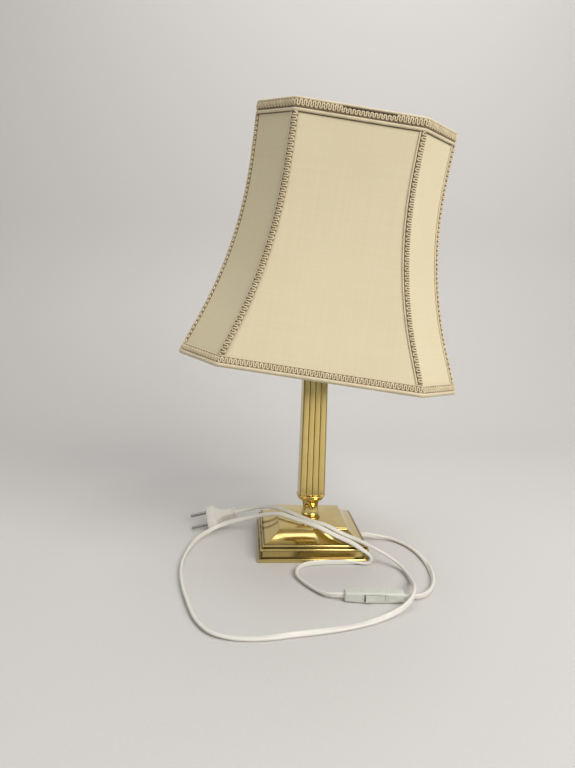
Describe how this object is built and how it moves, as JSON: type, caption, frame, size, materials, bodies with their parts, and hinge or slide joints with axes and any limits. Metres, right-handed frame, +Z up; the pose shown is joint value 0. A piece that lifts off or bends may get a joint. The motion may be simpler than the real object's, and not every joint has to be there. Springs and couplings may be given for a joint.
{
  "type": "table lamp",
  "caption": "Electric table lamp with a stepped square brass base, reeded square column, tilting bell-shaped fabric shade, and a flat flex with in-line rocker switch and two-pin plug.",
  "frame": {"origin": "centre of the base's underside, on the surface the lamp stands on", "axes": "+Z up along the column, +X to the lamp's right where the flex leaves the base, -Y to the front"},
  "size_m": [0.2794, 0.3443, 0.4627],
  "materials": {
    "brass": "polished",
    "contact_brass": "plain",
    "iron": "rough cast",
    "steel": "zinc plated",
    "felt": "pressed felt",
    "white_plastic": "moulded, semi-gloss",
    "flex_plastic": "soft sheath, semi-gloss",
    "porcelain": "glazed porcelain",
    "pin_metal": "plated, a little dull",
    "bulb_metal": "plain",
    "bulb_insulator": "vitrite",
    "bulb_glass": "opal",
    "frame_metal": "white coated wire",
    "shade_fabric": "plain weave, stretched",
    "braid": "looped gimp braid"
  },
  "bodies": {
    "lamp": {"base_felt": "felt", "base_nut": "steel", "base_shell": "brass", "base_washer": "steel", "base_weight": "iron", "bulb_cap": "bulb_metal", "bulb_contact": "bulb_metal", "bulb_glass": "bulb_glass", "bulb_insulator": "bulb_insulator", "column": "brass", "column_cap": "brass", "cord_grommet": "white_plastic", "flex_base_to_switch": "flex_plastic", "flex_inside": "flex_plastic", "flex_switch_to_plug": "flex_plastic", "holder_body": "brass", "holder_cap": "brass", "holder_contact": "contact_brass", "holder_core": "porcelain", "holder_screw_shell": "contact_brass", "holder_terminals": "contact_brass", "neck": "brass", "plug_body": "white_plastic", "plug_pins": "pin_metal", "plug_relief": "white_plastic", "shade_ring_lower": "brass", "shade_ring_upper": "brass", "switch_back": "white_plastic", "switch_contacts": "contact_brass", "switch_front": "white_plastic", "switch_pivot": "steel", "switch_screws": "steel", "threaded_tube": "steel"},
    "shade_fitter": {"fitter_ring": "frame_metal"},
    "shade": {"gimbal_arms": "frame_metal", "gimbal_ring": "frame_metal", "shade_bottom_braid": "braid", "shade_bottom_wire": "frame_metal", "shade_corner_back_left": "shade_fabric", "shade_corner_back_right": "shade_fabric", "shade_corner_front_left": "shade_fabric", "shade_corner_front_right": "shade_fabric", "shade_panel_back": "shade_fabric", "shade_panel_front": "shade_fabric", "shade_panel_left": "shade_fabric", "shade_panel_right": "shade_fabric", "shade_rib_1": "frame_metal", "shade_rib_2": "frame_metal", "shade_rib_3": "frame_metal", "shade_rib_4": "frame_metal", "shade_rib_5": "frame_metal", "shade_rib_6": "frame_metal", "shade_rib_7": "frame_metal", "shade_rib_8": "frame_metal", "shade_seam_braids": "braid", "shade_top_braid": "braid", "shade_top_wire": "frame_metal"},
    "rocker": {"switch_rocker": "white_plastic"}
  },
  "joints": [
    {"name": "shade_swivel", "type": "hinge", "parent": "lamp", "child": "shade_fitter", "pos_m": [0, 0, 0.2224], "axis": [0, 0, 1], "range_deg": [-180, 180]},
    {"name": "shade_tilt", "type": "hinge", "parent": "shade_fitter", "child": "shade", "pos_m": [0, 0, 0.2224], "axis": [0.6286, 0.7777, 0], "range_deg": [-23.7, 6.3]},
    {"name": "rocker_throw", "type": "hinge", "parent": "lamp", "child": "rocker", "pos_m": [0.04429, -0.1438, 0.0051], "axis": [0, 0, 1], "range_deg": [-12, 0]}
  ]
}
